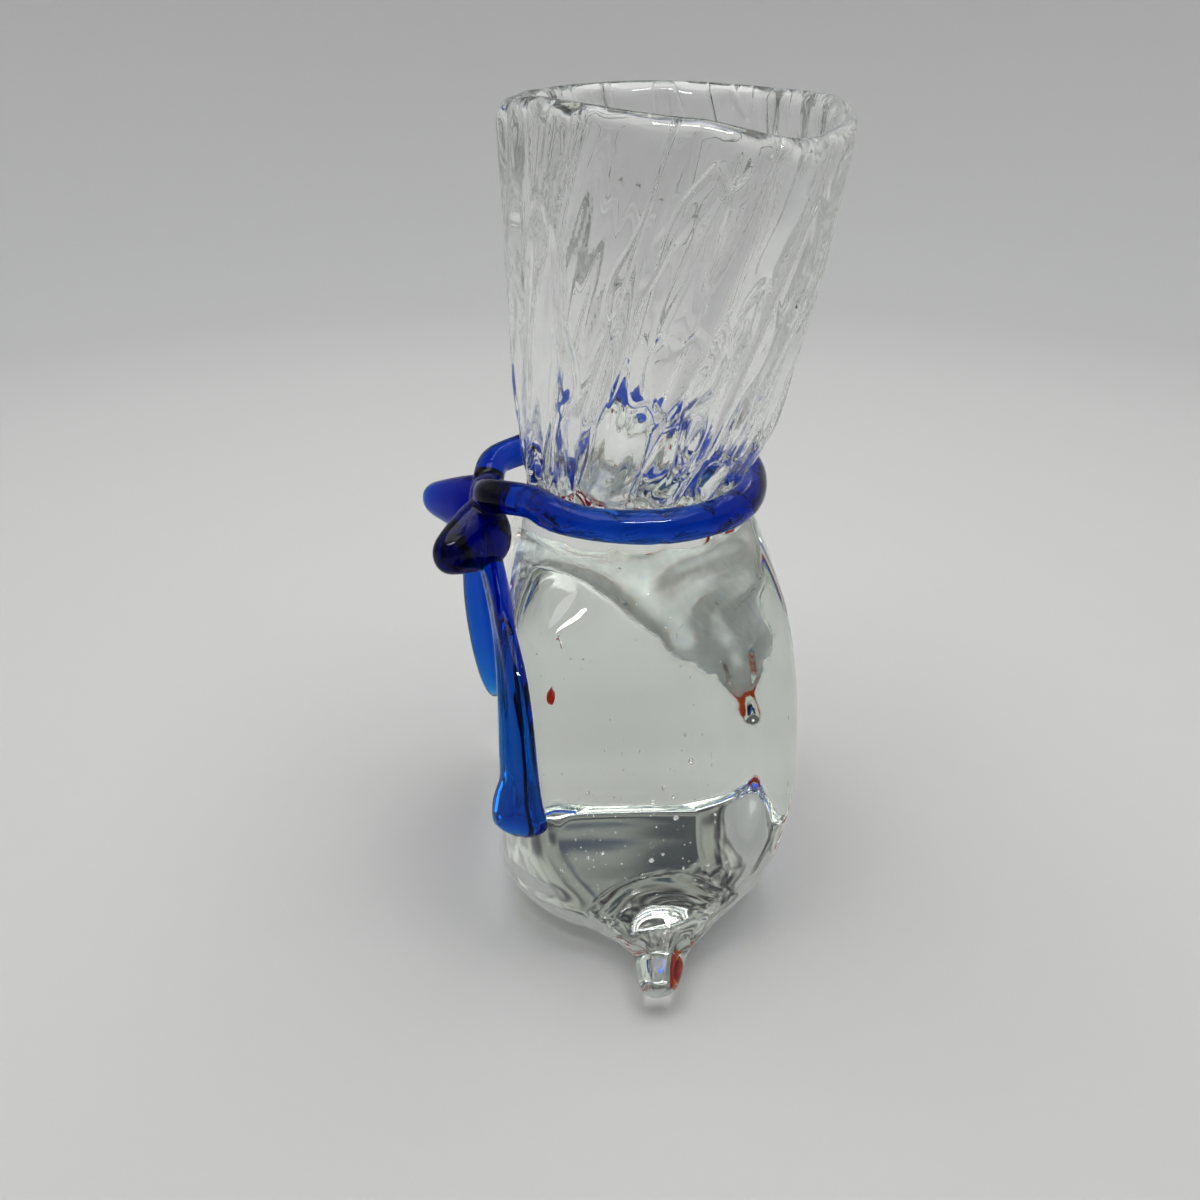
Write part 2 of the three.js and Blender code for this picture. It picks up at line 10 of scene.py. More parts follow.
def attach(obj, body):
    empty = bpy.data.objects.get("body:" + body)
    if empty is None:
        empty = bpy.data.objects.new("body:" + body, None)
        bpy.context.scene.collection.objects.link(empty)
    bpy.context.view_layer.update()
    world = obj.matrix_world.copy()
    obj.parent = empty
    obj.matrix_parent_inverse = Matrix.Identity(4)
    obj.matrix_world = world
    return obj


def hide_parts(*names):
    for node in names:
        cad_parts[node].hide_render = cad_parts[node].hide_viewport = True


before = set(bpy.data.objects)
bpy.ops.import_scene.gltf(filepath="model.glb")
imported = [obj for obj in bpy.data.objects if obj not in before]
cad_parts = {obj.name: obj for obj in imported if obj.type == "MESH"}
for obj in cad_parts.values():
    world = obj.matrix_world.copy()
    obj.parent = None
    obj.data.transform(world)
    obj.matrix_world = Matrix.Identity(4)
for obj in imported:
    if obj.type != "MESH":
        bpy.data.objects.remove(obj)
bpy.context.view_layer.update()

MM = 0.001
scene = bpy.context.scene


# ------------------------------------------------------------------ helpers
def table(rows):
    """Smooth monotone curve through a table's rows, column by column."""
    rows = np.array(rows, float)
    n, x = len(rows), rows[:, 0]
    d = np.diff(rows[:, 1:], axis=0) / np.diff(x)[:, None]
    t = np.zeros((n, rows.shape[1] - 1))
    t[0], t[-1] = d[0], d[-1]
    for i in range(1, n - 1):
        for c in range(d.shape[1]):
            p, q = d[i - 1, c], d[i, c]
            t[i, c] = 0 if p * q <= 0 else 2 * p * q / (p + q)

    def at(v):
        v = np.clip(np.asarray(v, float), x[0], x[-1])
        i = np.clip(np.searchsorted(x, v) - 1, 0, n - 2)
        h = x[i + 1] - x[i]
        s = ((v - x[i]) / h)[..., None]
        h = h[..., None]
        out = (2 * s**3 - 3 * s * s + 1) * rows[i, 1:] + (s**3 - 2 * s * s + s) * h * t[i]
        return out + (3 * s * s - 2 * s**3) * rows[i + 1, 1:] + (s**3 - s * s) * h * t[i + 1]

    return at


def smooth(x, a, b):
    t = np.clip((np.asarray(x, float) - a) / (b - a), 0, 1)
    return t * t * (3 - 2 * t)


def polar(a, b, n, th):
    return 1 / ((np.abs(np.cos(th)) / a) ** n + (np.abs(np.sin(th)) / b) ** n) ** (1 / n)


def perlin(px, py, pz):
    return np.array([noise.noise((float(x), float(y), float(z))) for x, y, z in zip(px, py, pz)])


def catmull(points, count):
    """Points evenly spread along a smooth curve through the given ones."""
    p = np.array(points, float)
    p = np.vstack([2 * p[0] - p[1], p, 2 * p[-1] - p[-2]])
    out = []
    for i in range(1, len(p) - 2):
        a, b, c, d = p[i - 1 : i + 3, :]
        t1 = np.linalg.norm(b - a) ** 0.5 + 1e-9
        t2 = t1 + np.linalg.norm(c - b) ** 0.5 + 1e-9
        t3 = t2 + np.linalg.norm(d - c) ** 0.5 + 1e-9
        for t in np.linspace(t1, t2, 24, endpoint=False):
            A1 = (t1 - t) / t1 * a + t / t1 * b
            A2 = (t2 - t) / (t2 - t1) * b + (t - t1) / (t2 - t1) * c
            A3 = (t3 - t) / (t3 - t2) * c + (t - t2) / (t3 - t2) * d
            B1 = (t2 - t) / t2 * A1 + t / t2 * A2
            B2 = (t3 - t) / (t3 - t1) * A2 + (t - t1) / (t3 - t1) * A3
            out.append((t2 - t) / (t2 - t1) * B1 + (t - t1) / (t2 - t1) * B2)
    out.append(p[-2])
    out = np.array(out)
    s = np.concatenate([[0], np.cumsum(np.linalg.norm(np.diff(out[:, :3], axis=0), axis=1))])
    want = np.linspace(0, s[-1], count)
    return np.stack([np.interp(want, s, out[:, k]) for k in range(out.shape[1])], 1)


def mesh_object(name, verts, faces, material=None, shade=True):
    me = bpy.data.meshes.new(name)
    me.from_pydata([tuple(v) for v in np.asarray(verts) * MM], [], [tuple(int(i) for i in f) for f in faces])
    bm = bmesh.new()
    bm.from_mesh(me)
    bmesh.ops.recalc_face_normals(bm, faces=bm.faces)
    bm.to_mesh(me)
    bm.free()
    me.polygons.foreach_set("use_smooth", [shade] * len(me.polygons))
    me.update()
    o = bpy.data.objects.new(name, me)
    scene.collection.objects.link(o)
    if material:
        me.materials.append(material)
    return o


def skin(rings, name, material, caps=(True, True)):
    """A closed mesh over rings of equal length with fans on both ends."""
    m = len(rings[0])
    verts = np.vstack(rings)
    faces = []
    for k in range(len(rings) - 1):
        a = k * m
        for i in range(m):
            j = (i + 1) % m
            faces.append((a + i, a + j, a + m + j, a + m + i))
    extra = []
    for at, ring in ((0, rings[0]), (len(rings) - 1, rings[-1])):
        c = len(verts) + len(extra)
        extra.append(np.mean(ring, axis=0))
        for i in range(m):
            faces.append((c, at * m + (i + 1) % m, at * m + i))
    return mesh_object(name, np.vstack([verts, extra]), faces, material)


def evaluated_mesh(obj, name):
    """The object's mesh with its modifiers applied, as a new object; the old one goes."""
    deps = bpy.context.evaluated_depsgraph_get()
    me = bpy.data.meshes.new_from_object(obj.evaluated_get(deps))
    me.name = name
    mats = [m for m in obj.data.materials]
    bpy.data.objects.remove(obj, do_unlink=True)
    o = bpy.data.objects.new(name, me)
    scene.collection.objects.link(o)
    me.materials.clear()
    for m in mats:
        me.materials.append(m)
    me.polygons.foreach_set("use_smooth", [True] * len(me.polygons))
    return o


# ------------------------------------------------------------------ materials
def nodes_of(name):
    m = bpy.data.materials.new(name)
    m.use_nodes = True
    t = m.node_tree
    t.nodes.clear()
    out = t.nodes.new("ShaderNodeOutputMaterial")
    p = t.nodes.new("ShaderNodeBsdfPrincipled")
    t.links.new(p.outputs["BSDF"], out.inputs["Surface"])
    return m, t, p, out


def coords(t, scale=(1, 1, 1)):
    c = t.nodes.new("ShaderNodeTexCoord")
    mp = t.nodes.new("ShaderNodeMapping")
    mp.inputs["Scale"].default_value = scale
    t.links.new(c.outputs["Object"], mp.inputs["Vector"])
    return mp.outputs["Vector"]


def noise_tex(t, vector, scale, detail=2.0, rough=0.5):
    n = t.nodes.new("ShaderNodeTexNoise")
    n.inputs["Scale"].default_value = scale
    n.inputs["Detail"].default_value = detail
    n.inputs["Roughness"].default_value = rough
    t.links.new(vector, n.inputs["Vector"])
    return n.outputs["Fac"]


def ramp(t, fac, stops):
    r = t.nodes.new("ShaderNodeValToRGB")
    e = r.color_ramp.elements
    while len(e) > 1:
        e.remove(e[-1])
    e[0].position, e[0].color = stops[0][0], (*stops[0][1], 1)
    for pos, col in stops[1:]:
        k = e.new(pos)
        k.color = (*col, 1)
    t.links.new(fac, r.inputs["Fac"])
    return r.outputs["Color"]


def bump(t, height, strength, distance):
    b = t.nodes.new("ShaderNodeBump")
    b.inputs["Strength"].default_value = strength
    b.inputs["Distance"].default_value = distance
    t.links.new(height, b.inputs["Height"])
    return b.outputs["Normal"]


def neck_creases(t, under):
    """Fine folds that lean up the gathered neck, as thin furrows on top of another bump."""
    c = t.nodes.new("ShaderNodeTexCoord")
    sep = t.nodes.new("ShaderNodeSeparateXYZ")
    t.links.new(c.outputs["Object"], sep.inputs["Vector"])
    lean = t.nodes.new("ShaderNodeMath")
    lean.operation = "MULTIPLY"
    lean.inputs[1].default_value = -7.2
    t.links.new(sep.outputs["Z"], lean.inputs[0])
    turn = t.nodes.new("ShaderNodeVectorRotate")
    turn.rotation_type = "Z_AXIS"
    t.links.new(c.outputs["Object"], turn.inputs["Vector"])
    t.links.new(lean.outputs[0], turn.inputs["Angle"])
    mp = t.nodes.new("ShaderNodeMapping")
    mp.inputs["Scale"].default_value = (1, 1, 0.2)
    t.links.new(turn.outputs["Vector"], mp.inputs["Vector"])
    off = t.nodes.new("ShaderNodeMath")
    off.operation = "SUBTRACT"
    off.inputs[1].default_value = 0.5
    t.links.new(noise_tex(t, mp.outputs["Vector"], 95, 1.0), off.inputs[0])
    size = t.nodes.new("ShaderNodeMath")
    size.operation = "ABSOLUTE"
    t.links.new(off.outputs[0], size.inputs[0])
    line = t.nodes.new("ShaderNodeMapRange")
    line.interpolation_type = "SMOOTHSTEP"
    line.inputs["From Max"].default_value = 0.035
    t.links.new(size.outputs[0], line.inputs["Value"])
    high = t.nodes.new("ShaderNodeMapRange")
    high.interpolation_type = "SMOOTHSTEP"
    high.inputs["From Min"].default_value = 0.096
    high.inputs["From Max"].default_value = 0.108
    t.links.new(sep.outputs["Z"], high.inputs["Value"])
    b = t.nodes.new("ShaderNodeBump")
    b.inputs["Distance"].default_value = 0.0003
    t.links.new(high.outputs["Result"], b.inputs["Strength"])
    t.links.new(line.outputs["Result"], b.inputs["Height"])
    t.links.new(under, b.inputs["Normal"])
    return b.outputs["Normal"]


def glass(name, colour, absorb, density, ior, bump_scale, bump_mm, creased=False):
    """Fire-polished glass: clear inside, coloured by the way light travels in it, with the soft waves of hot-worked glass."""
    m, t, p, out = nodes_of(name)
    p.inputs["Base Color"].default_value = (*colour, 1)
    p.inputs["Transmission Weight"].default_value = 1.0
    p.inputs["IOR"].default_value = ior
    v = coords(t)
    rough = t.nodes.new("ShaderNodeMapRange")
    rough.inputs["From Min"].default_value = 0.35
    rough.inputs["From Max"].default_value = 0.8
    rough.inputs["To Min"].default_value = 0.028
    rough.inputs["To Max"].default_value = 0.04
    t.links.new(noise_tex(t, v, bump_scale * 0.6, 3.0), rough.inputs["Value"])
    t.links.new(rough.outputs["Result"], p.inputs["Roughness"])
    soft = bump(t, noise_tex(t, v, bump_scale, 2.0), 1.0, bump_mm * MM)
    if creased:
        soft = neck_creases(t, soft)
    t.links.new(soft, p.inputs["Normal"])
    if density:
        a = t.nodes.new("ShaderNodeVolumeAbsorption")
        a.inputs["Color"].default_value = (*absorb, 1)
        a.inputs["Density"].default_value = density
        t.links.new(a.outputs["Volume"], out.inputs["Volume"])
    return m


clear_glass = glass("clear_glass", (1, 1, 1), (0.34, 0.55, 0.30), 1.8, 1.5, 55, 0.012, True)
blue_glass = glass("blue_glass", (1, 1, 1), (0.05, 0.62, 0.915), 1000, 1.36, 120, 0.03)

# ------------------------------------------------------------------ the clear bag
# height, half width towards +X and towards -X, front y, back y
OUT = table([
    [0.0, 38.8, 38.2, -20.0, 13.5],
    [1.2, 43.1, 39.2, -25.5, 18.8],
    [3.2, 46.3, 39.8, -29.3, 22.9],
    [6.5, 47.7, 40.0, -31.8, 26.3],
    [11.0, 48.4, 40.2, -33.0, 28.2],
    [18.0, 48.3, 40.3, -32.9, 29.2],
    [27.0, 48.0, 40.2, -32.7, 30.0],
    [37.0, 47.9, 39.8, -32.6, 30.4],
    [47.0, 47.5, 39.4, -31.9, 30.3],
    [57.0, 45.2, 39.0, -31.0, 30.1],
    [64.0, 42.1, 38.4, -30.1, 29.8],
    [70.0, 39.1, 37.4, -29.1, 28.9],
    [75.0, 36.5, 36.0, -28.0, 28.0],
    [79.0, 34.4, 34.4, -27.0, 26.6],
    [83.0, 32.4, 32.6, -26.0, 24.8],
    [87.0, 30.4, 30.3, -25.0, 22.6],
    [92.0, 28.8, 28.8, -24.2, 20.8],
    [97.0, 29.9, 29.9, -24.9, 22.8],
    [105.0, 32.3, 32.3, -25.6, 26.8],
    [118.0, 35.0, 35.0, -26.1, 30.2],
    [133.0, 38.0, 38.0, -26.6, 33.4],
    [148.0, 40.5, 40.5, -27.2, 36.2],
    [159.0, 42.0, 42.0, -27.8, 38.2],
    [166.0, 42.7, 42.7, -28.2, 39.2],
])
# radii of the bag's upright edges against height: right front, right back, left front, left back
EDGE = table([
    [0.0, 22.0, 20.0, 13.0, 4.5],
    [1.2, 23.0, 21.0, 13.3, 4.5],
    [3.2, 24.0, 22.0, 13.7, 4.0],
    [6.5, 24.0, 21.5, 14.0, 3.5],
    [11.0, 23.0, 20.0, 14.0, 3.0],
    [18.0, 18.0, 16.0, 13.3, 3.0],
    [27.0, 13.0, 12.0, 12.7, 3.2],
    [37.0, 11.0, 10.5, 12.3, 4.5],
    [47.0, 9.5, 10.0, 12.0, 6.0],
    [57.0, 9.0, 11.0, 13.0, 8.0],
    [64.0, 8.5, 13.0, 14.0, 10.0],
    [70.0, 8.5, 14.0, 15.0, 13.0],
    [75.0, 9.0, 16.0, 16.5, 16.0],
    [83.0, 14.0, 20.0, 20.0, 20.0],
])
CROWN = (0.5, 0.8)
FLARE = 0.2  # the back face spreads towards the left end
WALL = table([[87.0, 7.0], [91.0, 6.4], [97.0, 5.8], [104.0, 5.0], [115.0, 4.4], [132.0, 3.9], [150.0, 3.8], [166.0, 4.4]])
RIM = table([
    [0, 0.5], [28, -3.0], [60, -0.8], [90, 1.2], [135, 1.2], [180, 2.0], [225, 1.2], [270, 0.6], [315, 3.0], [360, 0.5],
])
FLOOR_Z, BOWL_Z = 87.5, 97.0
RIBS, TWIST = 16, 0.0072
# the slumped shoulder at the left end's back: a point on its plane and the way that faces
SLUMP_P, SLUMP_N = np.array([-40.0, 1.0, 34.1]), np.array([-0.85, 0.35, 0.405])
SLUMP_N = SLUMP_N / np.linalg.norm(SLUMP_N)

# angles round the bag, closer together at the pulled corner and at the upright edges
dense = np.linspace(0, 2 * math.pi, 6000)
away = np.abs((dense + math.pi) % (2 * math.pi) - math.pi)
weight = 1 + 2.6 * np.exp(-((away / 0.2) ** 2))
for edge in (31, 149, 211, 329):
    weight += 0.9 * np.exp(-(((dense - math.radians(edge)) / 0.22) ** 2))
weight += 0.8 * np.exp(-(((dense - math.pi) / 0.5) ** 2))
cum = np.concatenate([[0], np.cumsum((weight[1:] + weight[:-1]) / 2 * np.diff(dense))])
TH = np.interp(np.linspace(0, cum[-1], 340, endpoint=False), cum, dense)


def slab(z, th):
    """The bag's section: flat ends and faces with a slight crown, and rounded upright edges."""
    an, af, f, k = OUT(z)
    nf, nb, ff, fb = EDGE(z)
    c, s = np.cos(th), np.sin(th)
    a, b = np.where(c > 0, an, af), (k - f) / 2
    r = np.where(c > 0, np.where(s > 0, nb, nf), np.where(s > 0, fb, ff))
    r = np.minimum(r, np.minimum(a, b) * 0.995)
    ac, sc = np.abs(c) + 1e-12, np.abs(s) + 1e-12
    to_end, to_face = a / ac, b / sc
    cx, cy = a - r, b - r
    d = cx * ac + cy * sc
    to_edge = d + np.sqrt(np.maximum(d * d - cx * cx - cy * cy + r * r, 0))
    p = np.where(to_end * sc <= cy, to_end, np.where(to_face * ac <= cx, to_face, to_edge))
    x, y = p * c, p * s
    x, y = x * (1 - CROWN[0] / a * (y / b) ** 2), y * (1 - CROWN[1] / b * (x / a) ** 2)
    return x, np.where((x < 0) & (y > 0), y * (1 + FLARE * (x / a) ** 2), y)


def ribs_at(z, th, turn=0.0):
    """Outward rounded pleats with tight valleys, leaning and uneven like gathered film: 0 at a valley, 1 on a crest."""
    lean = th - TWIST * (z - 92)
    px, py = np.cos(lean) * 1.3, np.sin(lean) * 1.3
    wander = perlin(px + 3.1, py, np.full_like(th, z / 42.0)) * 1.6 + perlin(px * 2.2, py * 2.2 + 7, np.full_like(th, z / 22.0)) * 0.9
    return np.abs(np.cos((RIBS * lean + wander + turn) / 2)), 1 + 0.9 * perlin(px * 1.7, py * 1.7 + 21, np.full_like(th, z / 30.0))


def crinkle(z, th, seed):
    lean = th - TWIST * (z - 92)
    px, py = np.cos(lean) * 8.0 + seed, np.sin(lean) * 8.0
    return perlin(px, py, np.full_like(th, z / 27.0)) + 0.5 * perlin(px * 2.1, py * 2.1, np.full_like(th, z / 15.0 + 9))


def lift_at(z, th):
    return RIM(np.degrees(th) % 360)[:, 0] * smooth(z, 118, 166)


def outer_ring(z, inset=0.0, rib=1.0):
    an, af, f, k = OUT(z)
    r = polar(np.where(np.cos(TH) > 0, an, af) - inset, (k - f) / 2 - inset, 2.2, TH)
    if z > 82:
        fade = smooth(z, 84, 98) * (1 - 0.45 * smooth(z, 138, 164)) * rib
        crest, uneven = ribs_at(z, TH)
        sides = 0.8 + 0.6 * np.abs(np.sin(TH)) ** 1.5
        r = r + sides * fade * (2.5 * uneven * (crest - 0.64) + 0.5 * crinkle(z, TH, 0.0))
    x, y = r * np.cos(TH), r * np.sin(TH)
    if z < 86:
        w = smooth(z, 70, 86)
        sx, sy = slab(z, TH)
        low = np.full_like(TH, z / 22.0)
        swell = 1 + 0.0016 * perlin(np.cos(TH) * 1.4 + 5, np.sin(TH) * 1.4, low)
        x, y = (sx * (1 - w) + x * w) * swell, (sy * (1 - w) + y * w) * swell
    p = np.stack([x, (f + k) / 2 + y, z + lift_at(z, TH)], 1)
    if 2 < z < 78:
        s = (p - SLUMP_P) @ SLUMP_N
        near = (p[:, 0] < 0) & (s > -4)
        if near.any():
            q = p[near]
            u, v = 0.757 * q[:, 1] - 0.654 * q[:, 2], 0.654 * q[:, 1] + 0.757 * q[:, 2]
            s[near] += 1.2 * perlin(np.zeros(len(q)), q[:, 1] / 7.0, q[:, 2] / 14.0)
            s[near] += 0.7 * perlin(u / 4.2, v / 16.0, np.full(len(q), 4.0)) + 0.16 * perlin(u / 1.5, v / 10.0, np.full(len(q), 9.0))
        cut = np.where(s > 0.8, s, np.where(s > -0.8, (s + 0.8) ** 2 / 3.2, 0)) * np.where(p[:, 0] < 0, 1, 0)
        p[:, :2] -= (cut * (1 - smooth(z, 58, 76)))[:, None] * SLUMP_N[:2]
    return p


def inner_ring(z, share=1.0, height=None):
    """The hollow's wall at z, or a ring of its bowl-shaped floor at that share of the wall's width."""
    an, af, f, k = OUT(z)
    t = WALL(z)[0]
    r = polar(an - t, (k - f) / 2 - t, 2.2, TH)
    crest, uneven = ribs_at(z, TH, 1.3)
    deep = 1 + 1.4 * (1 - smooth(z, 94, 112))
    fade = (1 - 0.6 * smooth(z, 140, 163)) * (1 if share > 0.6 else smooth(share, 0.1, 0.6))
    r = (r + deep * fade * (1.2 * uneven * (crest - 0.64) + 0.4 * crinkle(z, TH, 31.0))) * share
    zz = z if height is None else height
    return np.stack([r * np.cos(TH), (f + k) / 2 + r * np.sin(TH), zz + lift_at(z, TH)], 1)


# how far a point is pulled out against its distance from the corner's middle
PULL = table([
    [0, 1.0], [2.0, 0.98], [3.2, 0.93], [4.0, 0.85], [4.6, 0.73], [5.0, 0.6], [5.5, 0.48], [6.2, 0.4], [7.6, 0.31], [9.4, 0.21], [11.4, 0.12], [14.0, 0.045], [17.0, 0.0],
])


def pull_corner(p):
    d = np.hypot(p[:, 1] - 1.5, (p[:, 2] - 7.0) / 0.78)
    w = np.where(p[:, 0] > 20, PULL(np.minimum(d, 17))[:, 0], 0)
    p += w[:, None] * np.array([19.6, -3.2, -1.4])
    p[:, 2] = np.maximum(p[:, 2], 0.0)
    return p


body_z = np.concatenate([
    np.linspace(0, 3, 9, endpoint=False), np.linspace(3, 20, 36, endpoint=False), np.linspace(20, 64, 42, endpoint=False), np.linspace(64, 80, 12, endpoint=False),
])
neck_z = np.concatenate([np.linspace(80, 100, 24, endpoint=False), np.linspace(100, 162.8, 54)])
rings = []
base = outer_ring(0.0)
mid = np.array([0, 0.75, 0])
for s in (0.3, 0.65, 0.9, 0.985):
    rings.append(mid + (base - mid) * s)
rings += [pull_corner(outer_ring(z)) for z in body_z]
rings += [outer_ring(z) for z in neck_z]
for a in np.radians([20, 45, 70, 90, 110, 135, 160]):  # the fire-polished lip
    rings.append(outer_ring(163.2 + 2.8 * math.sin(a), 2.2 - 2.2 * math.cos(a), 0.6))
for z in np.linspace(162.8, BOWL_Z, 48):
    rings.append(inner_ring(z))
for q in np.radians(np.linspace(0, 90, 18)[1:-1]):
    rings.append(inner_ring(BOWL_Z, math.cos(q), BOWL_Z - (BOWL_Z - FLOOR_Z) * math.sin(q)))
bag = skin(rings, "bag_glass", clear_glass)

# seed bubbles: small hollows in the glass, most of them low in the bag
random.seed(7)
bm = bmesh.new()
bm.from_mesh(bag.data)
for i in range(150):
    low = i < 110
    at = (random.uniform(-30, 40), random.uniform(-20, 20), random.uniform(3, 20) if low else random.uniform(20, 76))
    size = random.choice([0.12, 0.14, 0.16, 0.2, 0.24]) if i % 12 else random.uniform(0.35, 0.75)
    drop = bmesh.ops.create_icosphere(bm, subdivisions=1 if size < 0.3 else 2, radius=size * MM, matrix=Matrix.Translation(Vector(at) * MM))
    faces = list({f for v in drop["verts"] for f in v.link_faces})
    bmesh.ops.reverse_faces(bm, faces=faces)
    for f in faces:
        f.smooth = True
bm.to_mesh(bag.data)
bm.free()
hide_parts("bag_core", "bag_casing", "bag_neck", "bag_corner_right")
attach(bag, "root")


# ------------------------------------------------------------------ the blue cord and bow
def tube(path, radius, sides, name, material, flat=1.0):
    """A round trail along a path; radius may be a list, one for each point."""
    path = np.asarray(path)
    t = np.gradient(path, axis=0)
    t /= np.linalg.norm(t, axis=1)[:, None]
    up = np.array([0, 0, 1.0])
    rr = np.broadcast_to(radius, (len(path),))
    out = []
    for p, d, r in zip(path, t, rr):
        s = np.cross(d, up)
        s /= np.linalg.norm(s)
        u = np.cross(s, d)
        q = np.linspace(0, 2 * math.pi, sides, endpoint=False)
        out.append(p + r * (np.cos(q)[:, None] * s * flat + np.sin(q)[:, None] * u))
    return skin(out, name, material)


a, _, f, k = OUT(92.0)
lead = [[3.0, -33.4, 88.6], [10.5, -31.6, 91.0]]
circle = []
for i in range(19):
    t = math.radians(-52 + 284 * i / 18)
    r = float(polar(a + 2.9, (k - f) / 2 + 2.9, 2.2, t))
    circle.append([r * math.cos(t), (f + k) / 2 + r * math.sin(t), 92.0])
route = catmull(lead + circle + [[-p[0], p[1], p[2]] for p in lead[::-1]], 220)
along = np.linspace(0, 1, 220)
girth = 3.5 * (1 + 0.03 * np.sin(along * 23) + 0.025 * np.sin(along * 51 + 1))
girth -= 0.22 * np.exp(-(((along - 0.265) / 0.0022) ** 2))  # the seam where two trails meet
cord = tube(route, girth, 24, "c", blue_glass)

LOOP = table([[-0.3, 0.0], [-0.27, 5.0], [-0.12, 7.4], [0.05, 8.0], [0.25, 7.4], [0.45, 6.5], [0.65, 5.5], [0.82, 4.5], [0.93, 3.3], [0.985, 1.7], [1.0, 0.3]])


def lobe(root, tip, name, stout=1.0):
    root, tip = np.array(root), np.array(tip)
    d = (tip - root) / np.linalg.norm(tip - root)
    L = np.linalg.norm(tip - root)
    s = np.cross(d, [0, 0, 1.0])
    s /= np.linalg.norm(s)
    u = np.cross(s, d)
    out = []
    for v in np.concatenate([np.linspace(-0.298, 0.9, 34), np.linspace(0.92, 0.999, 8)]):
        r = float(LOOP(v)[0]) * stout
        q = np.linspace(0, 2 * math.pi, 28, endpoint=False)
        out.append(root + d * v * L + r * (0.8 * np.cos(q)[:, None] * s + np.sin(q)[:, None] * u))
    return skin(out, name, blue_glass)


def ball(c, r, name):
    out = []
    for v in np.radians(np.linspace(-86, 86, 22)):
        q = np.linspace(0, 2 * math.pi, 30, endpoint=False)
        out.append(np.stack([c[0] + r[0] * np.cos(v) * np.cos(q), c[1] + r[1] * np.cos(v) * np.sin(q), np.full_like(q, c[2] + r[2] * np.sin(v))], 1))
    return skin(out, name, blue_glass)


def fuse(parts, name, voxel, rounds):
    """Joins blobs of hot glass into one smooth body."""
    bpy.ops.object.select_all(action="DESELECT")
    for o in parts:
        o.select_set(True)
    bpy.context.view_layer.objects.active = parts[0]
    bpy.ops.object.join()
    o = parts[0]
    m = o.modifiers.new("fuse", "REMESH")
    m.mode = "VOXEL"
    m.voxel_size = voxel * MM
    s = o.modifiers.new("flow", "SMOOTH")
    s.factor = 0.5
    s.iterations = rounds
    return evaluated_mesh(o, name)


cord = fuse([
    cord,
    ball((0, -33.2, 86.2), (5.6, 4.4, 5.6), "k"),
    lobe([7.5, -34.2, 81.4], [19.2, -43.4, 80.4], "r"),
    lobe([-7.5, -35.4, 81.5], [-19.6, -48.2, 79.3], "l", 0.9),
], "cord_and_bow_glass", 0.42, 14)
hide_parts("neck_cord", "bow_knot", "bow_loop_right", "bow_loop_left")

TAIL_R = [
    [5.0, -34.4, 81.0, 3.4, 2.8, 8],
    [11.0, -32.8, 75.4, 3.7, 2.6, 14],
    [20.0, -31.2, 71.0, 3.9, 2.5, 22],
    [30.4, -30.0, 68.0, 4.0, 2.5, 32],
    [37.9, -29.1, 63.2, 4.1, 2.5, 42],
    [43.0, -28.5, 56.3, 4.1, 2.5, 52],
    [45.4, -28.3, 50.4, 4.2, 2.5, 56],
    [46.9, -28.1, 44.5, 4.4, 2.6, 58],
    [47.3, -28.5, 38.2, 5.8, 2.9, 60],
    [47.5, -28.3, 34.6, 6.2, 2.9, 60],
    [47.7, -28.1, 31.8, 4.8, 2.1, 60],
]
TAIL_L = [
    [-6.4, -34.6, 81.2, 2.8, 2.8, 20],
    [-9.8, -36.0, 74.0, 3.1, 2.8, 45],
    [-12.8, -36.9, 65.0, 3.4, 2.8, 65],
    [-15.2, -37.1, 55.0, 3.5, 2.8, 72],
    [-17.0, -36.7, 45.0, 3.3, 2.6, 75],
    [-18.0, -35.9, 36.0, 2.9, 2.3, 75],
    [-18.4, -35.0, 30.0, 2.4, 1.9, 75],
    [-18.5, -34.2, 25.4, 1.4, 1.2, 75],
]


def strap(stations, name, count=90, sides=32):
    """A drawn strap of two trails lying side by side: a flat oval with a furrow down its face."""
    st = catmull(stations, count)
    d = np.gradient(st[:, :3], axis=0)
    d /= np.linalg.norm(d, axis=1)[:, None]
    out = []
    q = np.linspace(0, 2 * math.pi, sides, endpoint=False)
    for i in range(count):
        w, h, deg = st[i, 3:]
        face = np.array([math.sin(math.radians(deg)), -math.cos(math.radians(deg)), 0])
        face -= d[i] * face.dot(d[i])
        face /= np.linalg.norm(face)
        side = np.cross(d[i], face)
        c, s = np.cos(q), np.sin(q)
        furrow = 1 - 0.22 * np.exp(-((c + 0.1) / 0.28) ** 2) * (s > 0)
        end = 1.0
        if i < 3 or i > count - 4:
            end = [0.55, 0.8, 0.94][min(i, count - 1 - i)]
        out.append(st[i, :3] + end * (np.outer(w * c, side) + np.outer(h * s * furrow, face)))
    return skin(out, name, blue_glass)


tail_r = strap(TAIL_R, "bow_tail_right_glass")
tail_l = strap(TAIL_L, "bow_tail_left_glass")
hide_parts("bow_tail_right")
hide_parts("bow_tail_left")
for o in (cord, tail_r, tail_l):
    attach(o, "root")


